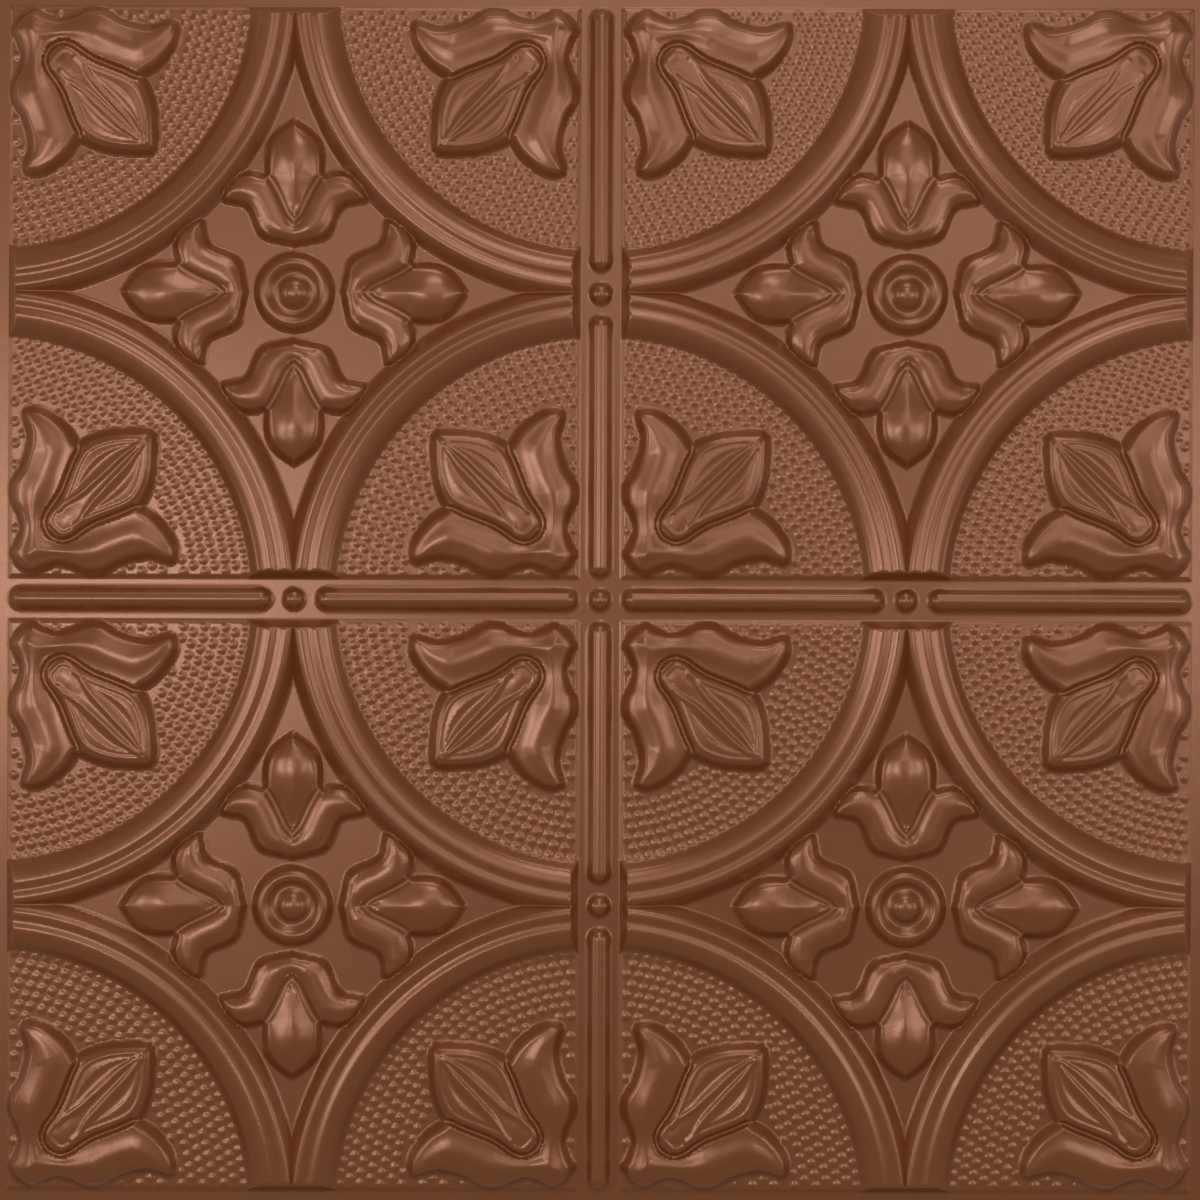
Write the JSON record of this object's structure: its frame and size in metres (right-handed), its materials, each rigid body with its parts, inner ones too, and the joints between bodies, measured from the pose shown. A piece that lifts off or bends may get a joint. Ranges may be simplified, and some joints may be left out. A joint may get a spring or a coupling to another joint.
{
  "type": "pressed tin ceiling tile",
  "caption": "Square pressed steel ceiling tile with raised mouldings, rosettes, fleurs and leaves, hollow behind, with a flat flange that drops into a lay-in grid.",
  "frame": {"origin": "middle of the tile, on the plane that the backs of its fields lie on", "axes": "+Z out of the decorated face, square to the sheet; +X and +Y along the tile's edges"},
  "size_m": [0.6032, 0.6032, 0.0085],
  "materials": {
    "painted_sheet": "satin metallic bronze paint"
  },
  "bodies": {
    "root": {"pressed_sheet": "painted_sheet"}
  },
  "joints": []
}
